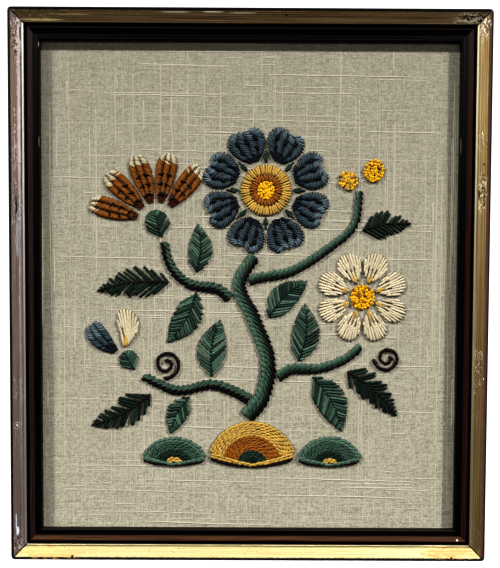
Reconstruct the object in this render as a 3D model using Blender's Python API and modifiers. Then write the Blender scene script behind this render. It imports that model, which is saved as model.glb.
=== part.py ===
"""A crewel embroidery on slubbed linen, stretched over a board in a gilt frame with a dark liner.

The panel hangs upright: X runs to the right, Y towards the wall and Z up. The origin is on the back of the
top rail, at its middle, where the frame meets the wall. Sizes are in millimetres until they are built.
"""

import math
from collections import namedtuple

import bmesh
import bpy
from mathutils import Matrix, Vector

MM = 0.001
GAP = 0.3

# The frame, over its outer edges
FRAME_WIDTH = 410.0
FRAME_HEIGHT = 472.5
HANG_DROP = 3.0
CENTRE_Z = HANG_DROP - FRAME_HEIGHT / 2

# The gilt moulding: distance in from the outer edge, height above the back
GILT_DEPTH = 24.0
GILT_FACE = 12.9
GILT_WALL = 6.0
GILT_LIP_UNDERSIDE = 15.0
GILT_PROFILE = (
    (0.0, 0.0),
    (0.0, 21.8),
    (0.3, 23.2),
    (1.2, GILT_DEPTH),
    (2.1, 23.7),
    (11.0, 19.9),
    (11.4, 20.7),
    (12.1, 21.0),
    (12.7, 20.7),
    (GILT_FACE, 20.0),
    (GILT_FACE, GILT_LIP_UNDERSIDE),
    (GILT_WALL, GILT_LIP_UNDERSIDE),
    (GILT_WALL, 0.0),
)

# The walnut liner, which fits the gilt moulding's rebate
SIGHT_EDGE = 25.4
LINER_REBATE = 18.0
LINER_BACK = 0.5
LINEN_FACE = 12.3
LINER_PROFILE = (
    (GILT_WALL + GAP, LINER_BACK),
    (GILT_WALL + GAP, GILT_LIP_UNDERSIDE - GAP),
    (GILT_FACE + GAP, GILT_LIP_UNDERSIDE - GAP),
    (GILT_FACE + GAP, 16.6),
    (14.5, 16.6),
    (14.8, 18.4),
    (15.6, 19.2),
    (16.8, 19.1),
    (18.2, 18.0),
    (19.3, 16.9),
    (21.3, 16.4),
    (23.3, 16.9),
    (24.5, 18.0),
    (25.1, 18.3),
    (SIGHT_EDGE, 17.9),
    (SIGHT_EDGE, LINEN_FACE + GAP),
    (LINER_REBATE, LINEN_FACE + GAP),
    (LINER_REBATE, LINER_BACK),
)

# The stretched linen and its board
PANEL_WIDTH = FRAME_WIDTH - 2 * (LINER_REBATE + GAP)
PANEL_HEIGHT = FRAME_HEIGHT - 2 * (LINER_REBATE + GAP)
LINEN_THICKNESS = 1.0
BOARD_THICKNESS = 5.0
TURNED_MARGIN = 28.0
LINEN_FOLD_RADIUS = 0.5
BOARD_EDGE_RADIUS = 0.4

# The worked patches: how far wool stands up, and how finely their forms are divided
WOOL_HEIGHT = 1.9
PATCH_SIDES = 8
PATCH_RINGS = 10
RINGS_PER_TOOTH = 3
STEM_STEPS = 5

WOOLS = {
    "slate_blue": "#465468",
    "rust": "#8A4A1E",
    "gold": "#CCA457",
    "bright_yellow": "#E0A42A",
    "cream": "#D9CCA8",
    "sage": "#5E7A6A",
    "dark_green": "#1C3A2F",
    "dark_brown": "#2B1A13",
}

# How full a patch is at its root and at its tip, how many teeth its edge has, and how full its underside is
Shape = namedtuple("Shape", "root tip teeth underside")
SHAPES = {
    "leaf": Shape(root=0.75, tip=0.95, teeth=0, underside=1.0),
    "petal": Shape(root=0.95, tip=0.45, teeth=0, underside=1.0),
    "frond": Shape(root=0.55, tip=0.85, teeth=8, underside=1.0),
    "mound": Shape(root=0.6, tip=0.6, teeth=0, underside=0.25),
    "round": Shape(root=0.5, tip=0.5, teeth=0, underside=1.0),
}

# Places are from the middle of the opening; an angle of 90 points up
Patch = namedtuple("Patch", "name x z angle length width shape bend wool")
PATCHES = [
    Patch("mound_left", -93, -151, 0, 56, 40, "mound", 0.0, "sage"),
    Patch("mound_middle", -35, -149, 0, 76, 64, "mound", 0.0, "gold"),
    Patch("mound_right", 43, -151, 0, 56, 42, "mound", 0.0, "sage"),
    Patch("leaf_left_low", -52, -96, 243, 36, 19, "leaf", -0.08, "sage"),
    Patch("leaf_left_middle", -32, -78, 82, 50, 25, "leaf", 0.08, "sage"),
    Patch("leaf_left_hanging", -46, -5, 240, 50, 24, "leaf", 0.08, "sage"),
    Patch("leaf_left_high", -46, 13, 88, 42, 20, "leaf", -0.07, "sage"),
    Patch("leaf_right_high", 17, -26, 44, 46, 23, "leaf", 0.08, "sage"),
    Patch("leaf_right_middle", 43, -64, 84, 50, 24, "leaf", -0.08, "sage"),
    Patch("leaf_right_low", 56, -78, 298, 54, 27, "leaf", 0.08, "sage"),
    Patch("frond_left_low", -86, -94, 208, 58, 27, "frond", 0.06, "dark_green"),
    Patch("frond_left_high", -70, 4, 187, 62, 27, "frond", -0.06, "dark_green"),
    Patch("frond_right_low", 86, -73, 318, 58, 26, "frond", 0.06, "dark_green"),
    Patch("frond_right_high", 98, 50, 8, 42, 24, "frond", 0.06, "dark_green"),
    Patch("carnation_calyx", -76, 43.5, 108, 24, 21, "round", 0.0, "sage"),
    Patch("bud_calyx", -100, -72, 118, 18, 17, "round", 0.0, "sage"),
    Patch("bud_petal_left", -113, -58, 134, 36, 18, "petal", 0.08, "slate_blue"),
    Patch("bud_petal_right", -107, -53, 92, 34, 18, "petal", -0.08, "cream"),
    Patch("berries_low", 90, 86, 128, 17, 16, "round", 0.0, "bright_yellow"),
    Patch("berries_high", 103, 92, 66, 20, 18, "round", 0.0, "bright_yellow"),
]

# A flower head: petals fanned or ringed about a middle, which starts them a little way out
Flower = namedtuple("Flower", "name x z petals first step start length width wool")
FLOWERS = (
    Flower("bloom", 14, 84, 8, 22.5, 45.0, 24.0, 30, 33, "slate_blue"),
    Flower("daisy", 98, -8, 8, 22.5, 45.0, 12.0, 28, 20, "cream"),
    Flower("carnation", -80, 56, 5, 52.0, 28.0, 13.0, 48, 18.5, "rust"),
)
HEART_CLEARANCE = 1.2
HEART_WOOLS = {"bloom": "gold", "daisy": "bright_yellow"}

# A stem is worked along its points, wide at its root and finer at its tip
Stem = namedtuple("Stem", "name width tip_width points")
STEMS = [
    Stem("main_stem", 14.0, 9.0, ((-2, -113), (12, -94), (16, -62), (3, -26), (-9, 2), (4, 27))),
    Stem("branch_left_low", 9.0, 5.6, ((0, -98), (-10, -92), (-32, -85), (-62, -90), (-92, -78))),
    Stem("branch_right_low", 9.0, 5.6, ((25, -78), (38, -71), (62, -70), (84, -62), (97, -51))),
    Stem("branch_left_high", 9.0, 5.6, ((-17, -10), (-28, -1), (-52, 3), (-68, 18), (-74, 39))),
    Stem("branch_right_high", 8.0, 4.6, ((0, 6), (10, 9), (38, 15), (68, 34), (90, 54), (95, 83))),
]
STEM_RISE = 0.2
STEM_WOOL = "sage"

# A curl is one fine line that winds in from its loose end to its eye
Curl = namedtuple("Curl", "name x z radius eye turns first")
CURLS = [
    Curl("curl_left", -72, -67, 12.5, 2.5, 1.6, 262.0),
    Curl("curl_right", 120, -61, 11.5, 2.5, 1.6, 186.0),
]
CURL_WIDTH = 3.0
CURL_RISE = 0.6
CURL_STEPS_PER_TURN = 14
CURL_WOOL = "dark_brown"


def linear(channel):
    if channel <= 0.04045:
        return channel / 12.92
    return ((channel + 0.055) / 1.055) ** 2.4


def finish(name, colour, roughness, metallic=0.0):
    """A plain finish of one colour, given as a hex number of red, green and blue."""
    channels = [linear(int(colour[i : i + 2], 16) / 255) for i in (1, 3, 5)]
    made = bpy.data.materials.new(name)
    made.use_nodes = True
    shader = made.node_tree.nodes["Principled BSDF"]
    shader.inputs["Base Color"].default_value = (*channels, 1.0)
    shader.inputs["Roughness"].default_value = roughness
    shader.inputs["Metallic"].default_value = metallic
    return made


def new_object(name, mesh, collection, material=None):
    made = bpy.data.objects.new(name, mesh)
    collection.objects.link(made)
    if material:
        mesh.materials.append(material)
    return made


def box(name, width, height, front, back, collection, material=None, edge_radius=0.0):
    """An upright box about the opening's middle, from its front to its back height above the frame's back."""
    form = bmesh.new()
    bmesh.ops.create_cube(form, size=1.0)
    size = Vector((width, front - back, height)) * MM
    bmesh.ops.scale(form, vec=size, verts=form.verts)
    mesh = bpy.data.meshes.new(name)
    form.to_mesh(mesh)
    form.free()
    made = new_object(name, mesh, collection, material)
    made.location = Vector((0, -(front + back) / 2, CENTRE_Z)) * MM
    if edge_radius:
        bevel = made.modifiers.new("edges", "BEVEL")
        bevel.width = edge_radius * MM
        bevel.segments = 2
    return made


def cut(body, cutter):
    boolean = body.modifiers.new(cutter.name, "BOOLEAN")
    boolean.operation = "DIFFERENCE"
    boolean.object = cutter


def hide_cutter(cutter):
    cutter.hide_render = True
    cutter.display_type = "WIRE"


def mitred_rail(name, profile, length, turn, distance, collection, material):
    """A rail of the frame, mitred at both ends, with its outer edge at a distance from the opening's middle.

    The profile is drawn with its outer edge up, swept along, and turned about the opening's middle.
    """
    half = length / 2 - GAP / math.sqrt(2)
    outline = bpy.data.curves.new(name, "CURVE")
    outline.dimensions = "2D"
    outline.fill_mode = "BOTH"
    outline.extrude = half * MM
    spline = outline.splines.new("POLY")
    spline.points.add(len(profile) - 1)
    spline.use_cyclic_u = True
    for point, (inward, height) in zip(spline.points, profile):
        point.co = (-inward * MM, height * MM, 0.0, 1.0)
    swept = bpy.data.objects.new(name + "_swept", outline)
    collection.objects.link(swept)
    graph = bpy.context.evaluated_depsgraph_get()
    mesh = bpy.data.meshes.new_from_object(swept.evaluated_get(graph))
    bpy.data.objects.remove(swept)
    form = bmesh.new()
    form.from_mesh(mesh)
    bmesh.ops.remove_doubles(form, verts=form.verts, dist=0.00001)
    for corner in form.verts:
        inward = -corner.co.x
        corner.co.z = math.copysign(half * MM - inward, corner.co.z)
    form.to_mesh(mesh)
    form.free()
    made = new_object(name, mesh, collection, material)
    upright = Matrix(((0, 0, 1), (0, -1, 0), (1, 0, 0))).to_4x4()
    turned = Matrix.Rotation(math.radians(turn), 4, "Y")
    middle = Matrix.Translation((0, 0, CENTRE_Z * MM))
    made.matrix_world = middle @ turned @ Matrix.Translation((0, 0, distance * MM)) @ upright
    return made


def frame_rails(kind, profile, collection, material):
    sides = (
        ("top", 0, FRAME_WIDTH, FRAME_HEIGHT / 2),
        ("right", 90, FRAME_HEIGHT, FRAME_WIDTH / 2),
        ("bottom", 180, FRAME_WIDTH, FRAME_HEIGHT / 2),
        ("left", 270, FRAME_HEIGHT, FRAME_WIDTH / 2),
    )
    for side, turn, length, distance in sides:
        mitred_rail(f"{kind}_{side}", profile, length, turn, distance, collection, material)


def stretched_linen(parts, cutters, linen_finish, board_finish):
    """The linen wraps the board: a face, four sides and a margin turned onto the back."""
    back = LINEN_FACE - 2 * LINEN_THICKNESS - 2 * GAP - BOARD_THICKNESS
    linen = box(
        "linen", PANEL_WIDTH, PANEL_HEIGHT, LINEN_FACE, back, parts, linen_finish, LINEN_FOLD_RADIUS
    )
    hollow_front = LINEN_FACE - LINEN_THICKNESS
    hollow_width = PANEL_WIDTH - 2 * LINEN_THICKNESS
    hollow_height = PANEL_HEIGHT - 2 * LINEN_THICKNESS
    hollow = box(
        "board_space", hollow_width, hollow_height, hollow_front, back + LINEN_THICKNESS, cutters
    )
    window_width = PANEL_WIDTH - 2 * TURNED_MARGIN
    window_height = PANEL_HEIGHT - 2 * TURNED_MARGIN
    window = box("back_window", window_width, window_height, LINEN_FACE / 2 + GAP, back - 1.0, cutters)
    for cutter in (hollow, window):
        hide_cutter(cutter)
        cut(linen, cutter)
    board_front = hollow_front - GAP
    box(
        "mounting_board",
        hollow_width - 2 * GAP,
        hollow_height - 2 * GAP,
        board_front,
        board_front - BOARD_THICKNESS,
        parts,
        board_finish,
        BOARD_EDGE_RADIUS,
    )


def half_width(patch, share):
    """How far a patch reaches to each side of its middle line, at a share of its length from the root."""
    shape = SHAPES[patch.shape]
    fullest = shape.root / (shape.root + shape.tip)
    swell = (share / fullest) ** shape.root * ((1 - share) / (1 - fullest)) ** shape.tip
    if shape.teeth:
        swell *= 0.6 + 0.4 * abs(math.sin(math.pi * shape.teeth * share))
    return patch.width / 2 * swell


def worked_patch(patch, collection, material):
    """A stitched patch: a sphere drawn out along the patch and pressed nearly flat."""
    shape = SHAPES[patch.shape]
    rings = PATCH_RINGS
    if shape.teeth:
        rings = shape.teeth * RINGS_PER_TOOTH
    form = bmesh.new()
    bmesh.ops.create_uvsphere(form, u_segments=PATCH_SIDES, v_segments=rings, radius=1.0)
    for point in form.verts:
        ring = math.sqrt(max(0.0, 1 - point.co.z**2))
        share = min(1.0, max(0.0, (1 + point.co.z) / 2))
        across = 0.0
        rise = 0.0
        if ring > 0.001:
            across = -point.co.x / ring
            rise = point.co.y / ring
        side = half_width(patch, share) * across
        if across < 0:
            side *= shape.underside
        side += patch.bend * patch.length * math.sin(math.pi * share)
        thickness = WOOL_HEIGHT / 2 * min(1.0, 1.8 * ring)
        point.co = Vector((share * patch.length, thickness * rise, side)) * MM
    mesh = bpy.data.meshes.new(patch.name)
    form.to_mesh(mesh)
    form.free()
    mesh.shade_smooth()
    made = new_object(patch.name, mesh, collection, material)
    made.location = Vector((patch.x, -(LINEN_FACE + GAP + WOOL_HEIGHT / 2), CENTRE_Z + patch.z)) * MM
    made.rotation_euler.y = -math.radians(patch.angle)
    return made


def flower_patches(flower):
    """The petals of a flower head, and the round heart of one that is ringed."""
    for number in range(flower.petals):
        angle = flower.first + number * flower.step
        way = Vector((math.cos(math.radians(angle)), math.sin(math.radians(angle))))
        root = Vector((flower.x, flower.z)) + flower.start * way
        name = f"{flower.name}_petal_{number + 1}"
        yield Patch(name, *root, angle, flower.length, flower.width, "petal", 0.0, flower.wool)
    if flower.name in HEART_WOOLS:
        radius = flower.start - HEART_CLEARANCE
        heart = flower.name + "_heart"
        wool = HEART_WOOLS[flower.name]
        yield Patch(heart, flower.x - radius, flower.z, 0, 2 * radius, 2 * radius, "round", 0.0, wool)


def smooth_line(points, steps):
    """A smooth line through all the points, by the Catmull-Rom rule."""
    ends = [2 * Vector(points[0]) - Vector(points[1]), 2 * Vector(points[-1]) - Vector(points[-2])]
    through = [ends[0], *map(Vector, points), ends[1]]
    line = []
    for before, here, there, after in zip(through, through[1:], through[2:], through[3:]):
        for step in range(steps):
            t = step / steps
            line.append(
                0.5
                * (
                    2 * here
                    + (there - before) * t
                    + (2 * before - 5 * here + 4 * there - after) * t**2
                    + (3 * here - before - 3 * there + after) * t**3
                )
            )
    line.append(Vector(points[-1]))
    return line


def curl_line(curl):
    steps = round(curl.turns * CURL_STEPS_PER_TURN)
    line = []
    for step in range(steps + 1):
        share = step / steps
        turn = math.radians(curl.first + 360 * curl.turns * share)
        radius = curl.radius + (curl.eye - curl.radius) * share
        line.append(Vector((curl.x + radius * math.cos(turn), curl.z + radius * math.sin(turn))))
    return line


def low_section(name, rise, collection):
    """The section of a stem or a curl: rounded, one unit wide and as high as its rise."""
    section = bpy.data.curves.new(name, "CURVE")
    section.dimensions = "2D"
    spline = section.splines.new("POLY")
    corners = 8
    spline.points.add(corners - 1)
    spline.use_cyclic_u = True
    for number, point in enumerate(spline.points):
        turn = -2 * math.pi * number / corners
        point.co = (math.cos(turn) / 2 * MM, rise * math.sin(turn) / 2 * MM, 0.0, 1.0)
    made = bpy.data.objects.new(name, section)
    collection.objects.link(made)
    hide_cutter(made)
    return made


def worked_line(name, line, width, tip_width, rise, section, collection, material):
    """Rows of stitches along a line on the linen, from their root to their tip."""
    curve = bpy.data.curves.new(name, "CURVE")
    curve.dimensions = "3D"
    curve.twist_mode = "Z_UP"
    curve.bevel_mode = "OBJECT"
    curve.bevel_object = section
    curve.use_fill_caps = True
    spline = curve.splines.new("POLY")
    spline.points.add(len(line) - 1)
    for number, (point, place) in enumerate(zip(spline.points, line)):
        share = number / (len(line) - 1)
        point.co = (place.x * MM, place.y * MM, 0.0, 1.0)
        point.radius = width + (tip_width - width) * share
    curve.materials.append(material)
    made = bpy.data.objects.new(name, curve)
    collection.objects.link(made)
    made.location = Vector((0, -(LINEN_FACE + GAP + rise * width / 2), CENTRE_Z)) * MM
    made.rotation_euler.x = math.radians(90)


def build():
    for old in list(bpy.data.objects):
        bpy.data.objects.remove(old)
    parts = bpy.data.collections.new("framed_crewel_panel")
    cutters = bpy.data.collections.new("cutters")
    for collection in (parts, cutters):
        bpy.context.scene.collection.children.link(collection)
    wools = {name: finish(name + "_wool", colour, 0.85) for name, colour in WOOLS.items()}
    frame_rails("gilt", GILT_PROFILE, parts, finish("worn_gilding", "#8E7A4E", 0.38, 0.9))
    frame_rails("liner", LINER_PROFILE, parts, finish("dark_walnut", "#2A1810", 0.35))
    linen = finish("slubbed_linen", "#A9A28E", 0.9)
    board = finish("grey_board", "#8D8471", 0.85)
    stretched_linen(parts, cutters, linen, board)
    for patch in PATCHES:
        worked_patch(patch, parts, wools[patch.wool])
    for flower in FLOWERS:
        for patch in flower_patches(flower):
            worked_patch(patch, parts, wools[patch.wool])
    section = low_section("stem_section", STEM_RISE, cutters)
    for stem in STEMS:
        line = smooth_line(stem.points, STEM_STEPS)
        finished = wools[STEM_WOOL]
        worked_line(stem.name, line, stem.width, stem.tip_width, STEM_RISE, section, parts, finished)
    section = low_section("curl_section", CURL_RISE, cutters)
    for curl in CURLS:
        finished = wools[CURL_WOOL]
        worked_line(curl.name, curl_line(curl), CURL_WIDTH, CURL_WIDTH, CURL_RISE, section, parts, finished)


build()
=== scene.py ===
"""A framed crewel embroidery: a flowering spray in wool on linen, in a worn gilt frame with a walnut liner.

It hangs upright and faces -Y. Lengths are in millimetres until a mesh is made. Places on the linen are (x, z)
from the middle of the opening, and a height above the cloth.
"""

import math
from collections import namedtuple

import bpy
import numpy as np
from mathutils import Euler, Matrix, Vector


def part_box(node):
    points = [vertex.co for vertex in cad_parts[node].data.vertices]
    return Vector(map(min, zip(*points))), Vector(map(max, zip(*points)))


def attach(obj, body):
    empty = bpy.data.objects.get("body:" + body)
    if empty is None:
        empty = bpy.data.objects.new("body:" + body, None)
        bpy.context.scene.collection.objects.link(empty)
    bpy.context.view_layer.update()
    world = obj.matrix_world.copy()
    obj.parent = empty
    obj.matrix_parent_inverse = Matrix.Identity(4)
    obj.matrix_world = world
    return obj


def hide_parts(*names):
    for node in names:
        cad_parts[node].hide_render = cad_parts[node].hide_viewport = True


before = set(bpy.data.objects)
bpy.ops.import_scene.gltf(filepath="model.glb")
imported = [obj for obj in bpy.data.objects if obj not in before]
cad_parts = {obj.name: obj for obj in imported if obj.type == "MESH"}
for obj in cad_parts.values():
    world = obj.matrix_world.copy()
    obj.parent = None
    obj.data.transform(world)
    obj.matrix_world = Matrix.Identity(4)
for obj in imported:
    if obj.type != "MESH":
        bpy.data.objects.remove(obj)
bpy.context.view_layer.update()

MM = 0.001
linen_low, linen_high = (Vector(corner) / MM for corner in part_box("linen"))
MIDDLE_Z = (linen_low.z + linen_high.z) / 2
LINEN_Y = linen_low.y
chance = np.random.default_rng(7)

# Crewel wool as it lies on the cloth
YARN = 1.12
YARN_HIGH = 0.8
PLY_DEPTH = 0.2
PLY_TURN = 4.2
YARN_SIDES = 8
PITCH = 2.1
DIP = 0.5
JITTER = 0.25
RAY_STEP = 0.3

SKEINS = {
    "slate blue": "#3F4F56",
    "pale slate": "#64737B",
    "ink blue": "#141C26",
    "black": "#060607",
    "rust": "#925A1C",
    "dark rust": "#55260C",
    "gold": "#BE9B4E",
    "bright yellow": "#EDB41A",
    "cream": "#D0C3A4",
    "sage": "#3D5546",
    "pale sage": "#577060",
    "deep sage": "#22362C",
    "dark green": "#13251C",
    "dark brown": "#170D09",
}

# How full a patch is at its root and at its tip, how many teeth its edge has, and how full its underside is
Shape = namedtuple("Shape", "root tip teeth underside")
SHAPES = {
    "leaf": Shape(root=0.75, tip=0.95, teeth=0, underside=1.0),
    "petal": Shape(root=0.95, tip=0.45, teeth=0, underside=1.0),
    "frond": Shape(root=0.55, tip=0.85, teeth=8, underside=1.0),
    "mound": Shape(root=0.6, tip=0.6, teeth=0, underside=0.25),
    "round": Shape(root=0.5, tip=0.5, teeth=0, underside=1.0),
}

Patch = namedtuple("Patch", "name x z angle length width shape bend")
LEAVES = [
    Patch("leaf_left_low", -52, -96, 243, 36, 19, "leaf", -0.08),
    Patch("leaf_left_middle", -32, -78, 82, 50, 25, "leaf", 0.08),
    Patch("leaf_left_hanging", -46, -5, 240, 50, 24, "leaf", 0.08),
    Patch("leaf_left_high", -46, 13, 88, 42, 20, "leaf", -0.07),
    Patch("leaf_right_high", 17, -26, 44, 46, 23, "leaf", 0.08),
    Patch("leaf_right_middle", 43, -64, 84, 50, 24, "leaf", -0.08),
    Patch("leaf_right_low", 56, -78, 298, 54, 27, "leaf", 0.08),
]
FRONDS = [
    Patch("frond_left_low", -86, -94, 208, 58, 27, "frond", 0.06),
    Patch("frond_left_high", -70, 4, 187, 62, 27, "frond", -0.06),
    Patch("frond_right_low", 86, -73, 318, 58, 26, "frond", 0.06),
    Patch("frond_right_high", 98, 50, 8, 42, 24, "frond", 0.06),
]
MOUNDS = [
    Patch("mound_left", -93, -151, 0, 56, 40, "mound", 0.0),
    Patch("mound_middle", -35, -149, 0, 76, 64, "mound", 0.0),
    Patch("mound_right", 43, -151, 0, 56, 42, "mound", 0.0),
]
BERRIES = [
    Patch("berries_low", 90, 86, 128, 17, 16, "round", 0.0),
    Patch("berries_high", 103, 92, 66, 20, 18, "round", 0.0),
]
CARNATION_CALYX = Patch("carnation_calyx", -76, 43.5, 108, 24, 21, "round", 0.0)
BUD_CALYX = Patch("bud_calyx", -100, -72, 118, 18, 17, "round", 0.0)
BUD_LEFT = Patch("bud_petal_left", -113, -58, 134, 36, 18, "petal", 0.08)
BUD_RIGHT = Patch("bud_petal_right", -107, -53, 92, 34, 18, "petal", -0.08)

Flower = namedtuple("Flower", "name x z petals first step start length width")
BLOOM = Flower("bloom", 14, 84, 8, 22.5, 45.0, 24.0, 30, 33)
DAISY = Flower("daisy", 98, -8, 8, 22.5, 45.0, 12.0, 28, 20)
CARNATION = Flower("carnation", -80, 56, 5, 52.0, 28.0, 13.0, 48, 18.5)
HEART_CLEARANCE = 1.2

Stem = namedtuple("Stem", "name width tip_width points")
STEMS = [
    Stem("main_stem", 14.0, 9.0, ((-2, -113), (12, -94), (16, -62), (3, -26), (-9, 2), (4, 27))),
    Stem("branch_left_low", 9.0, 5.6, ((0, -98), (-10, -92), (-32, -85), (-62, -90), (-92, -78))),
    Stem("branch_right_low", 9.0, 5.6, ((25, -78), (38, -71), (62, -70), (84, -62), (97, -51))),
    Stem("branch_left_high", 9.0, 5.6, ((-17, -10), (-28, -1), (-52, 3), (-68, 18), (-74, 39))),
    Stem("branch_right_high", 8.0, 4.6, ((0, 6), (10, 9), (38, 15), (68, 34), (90, 54), (95, 83))),
]
Curl = namedtuple("Curl", "name x z radius eye turns first")
CURLS = [
    Curl("curl_left", -72, -67, 12.5, 2.5, 1.6, 262.0),
    Curl("curl_right", 120, -61, 11.5, 2.5, 1.6, 186.0),
]

# The frame: how far in from its outer edge, and how high above its back
GILT_PROFILE = (
    (0.0, 0.0), (0.0, 21.8), (0.3, 23.2), (1.2, 24.0), (2.1, 23.7), (11.0, 20.0), (11.3, 20.5),
    (12.1, 20.65), (12.7, 20.5), (12.9, 20.0), (12.9, 15.0), (6.0, 15.0), (6.0, 0.0),
)
LINER_PROFILE = (
    (6.3, 0.5), (6.3, 14.7), (13.2, 14.7), (13.2, 16.6), (14.5, 16.6), (14.8, 18.4), (15.6, 19.2),
    (16.8, 19.1), (18.2, 18.0), (19.3, 16.9), (21.3, 16.4), (23.3, 16.9), (24.5, 18.0), (25.1, 18.3),
    (25.4, 17.9), (25.4, 12.6), (18.0, 12.6), (18.0, 0.5),
)
FRAME_WIDTH = 410.0
FRAME_HEIGHT = 472.5
# Where the mouldings' small members lie, from one side to the other
GILT_CROWN = (9.5, 10.3)
GILT_GROOVE = (10.7, 11.3)
GILT_BEAD = (11.5, 12.7)
GILT_WALL = (12.88, 13.0)
LINER_BEAD = (15.6, 18.6)
LINER_LIP = (24.6, 24.9)
MITRE_GAP = 0.06
CORNER_RADIUS = 5.0
# The weft has been pulled a little off level
WEFT_LEAN = 0.017
TURNED_MARGIN = 28.0
# How far in from the linen's sides its painted shadow border ends and starts
SHADED_MARGIN = (22.0, 9.0)
# Half the width and height of the linen's face that the slubs are scattered over
SLUBBED = (180.0, 211.0)

# The photograph's viewpoint: its focal length over its picture's height, its tilt in degrees, and its place
FOCAL_SHARE = 700 / 568
CAMERA_TILT = (-2.12, -0.28, -0.09)
CAMERA_PLACE = (-0.5, -619.7, 25.5)
FLOOR_DROP = -1.1
FLOOR_SIZE = 1.6


def linear_colour(code):
    """The linear colour of an sRGB hex code."""
    channels = [int(code[i : i + 2], 16) / 255 for i in (1, 3, 5)]
    return (*(c / 12.92 if c <= 0.04045 else ((c + 0.055) / 1.055) ** 2.4 for c in channels), 1.0)


def join(tree, node, inputs):
    """Sets a node's inputs, each to a value or to another node's output."""
    for name, value in inputs.items():
        if isinstance(value, bpy.types.NodeSocket):
            tree.links.new(value, node.inputs[name])
        else:
            node.inputs[name].default_value = value


def add(tree, kind, inputs=None, take=0, **settings):
    """Adds a node with its settings and links, and gives back one of its outputs."""
    node = tree.nodes.new("ShaderNode" + kind)
    for name, value in settings.items():
        setattr(node, name, value)
    join(tree, node, inputs or {})
    return node.outputs[take] if node.outputs else None


def grained(tree, where, scale, shift=(0.0, 0.0, 0.0), **noise):
    """An unevenness drawn out along a surface, as grain, threads, hairs and streaks are."""
    drawn = add(tree, "Mapping", {"Vector": where, "Scale": scale, "Location": shift})
    return add(tree, "TexNoise", {"Vector": drawn, "Scale": 1.0, **noise})


def new_material(name):
    """A new material, its nodes and its shader."""
    made = bpy.data.materials.new(name)
    made.use_nodes = True
    return made, made.node_tree, made.node_tree.nodes["Principled BSDF"]


def crewel_wool(name, code):
    """Two-ply worsted wool: hairy, a little sheened, painted shade between stitches, each length its own
    tone.
    """
    made, tree, shader = new_material(name)
    tone, painted_light_share = (add(tree, "Attribute", take="Fac", attribute_name=name) for name in ("tone", "painted_light_share"))
    fibre = add(tree, "Attribute", take="Vector", attribute_name="fibre")
    hairs = grained(tree, fibre, (0.5, 4.5, 1.0), Detail=3.0)
    mottle = {"From Min": 0.3, "From Max": 0.7, "To Min": 0.7, "To Max": 1.3}
    uneven = add(tree, "MapRange", {"Value": hairs, **mottle})
    # Painted shade: the yarn darkens down its sides and at its ends, between the stitches
    deep = add(tree, "MapRange", {"Value": painted_light_share, "From Min": 0.14, "To Min": 0.02, "To Max": 1.18})
    lit = add(tree, "Math", {0: uneven, 1: deep}, operation="MULTIPLY")
    bright = add(tree, "Math", {0: lit, 1: tone}, operation="MULTIPLY")
    dyed = add(tree, "HueSaturation", {"Color": linear_colour(code), "Value": bright})
    bump = add(tree, "Bump", {"Height": hairs, "Strength": 0.6, "Distance": 0.3 * MM})
    hairy = {"Roughness": 0.62, "Sheen Weight": 0.04, "Sheen Roughness": 0.4, "Specular IOR Level": 0.2}
    join(tree, shader, {"Base Color": dyed, "Normal": bump, **hairy})
    return made


wools = {name: crewel_wool(name + " wool", code) for name, code in SKEINS.items()}


def to_row(places):
    """Places on the linen, with their heights, as points of the row frame in metres."""
    return np.stack([places[:, 0], LINEN_Y - places[:, 2], MIDDLE_Z + places[:, 1]], axis=1) * MM


def put(name, data):
    """A new object of the scene, with its mesh, lamp or camera."""
    made = bpy.data.objects.new(name, data)
    bpy.context.scene.collection.objects.link(made)
    return made


def make_piece(name, points, faces, materials, face_materials=None, attributes=None):
    """A mesh piece of the object, with float or vector attributes on its points."""
    mesh = bpy.data.meshes.new(name)
    mesh.from_pydata(points.tolist(), [], faces)
    for material in materials:
        mesh.materials.append(material)
    if face_materials is not None:
        mesh.polygons.foreach_set("material_index", face_materials)
    for key, values in (attributes or {}).items():
        values = np.asarray(values, dtype=np.float32)
        kind = "FLOAT_VECTOR" if values.ndim == 2 else "FLOAT"
        field = "vector" if values.ndim == 2 else "value"
        layer = mesh.attributes.new(key, kind, "POINT")
        layer.data.foreach_set(field, values.ravel())
    mesh.shade_smooth()
    mesh.update()
    return put(name, mesh)


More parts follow.
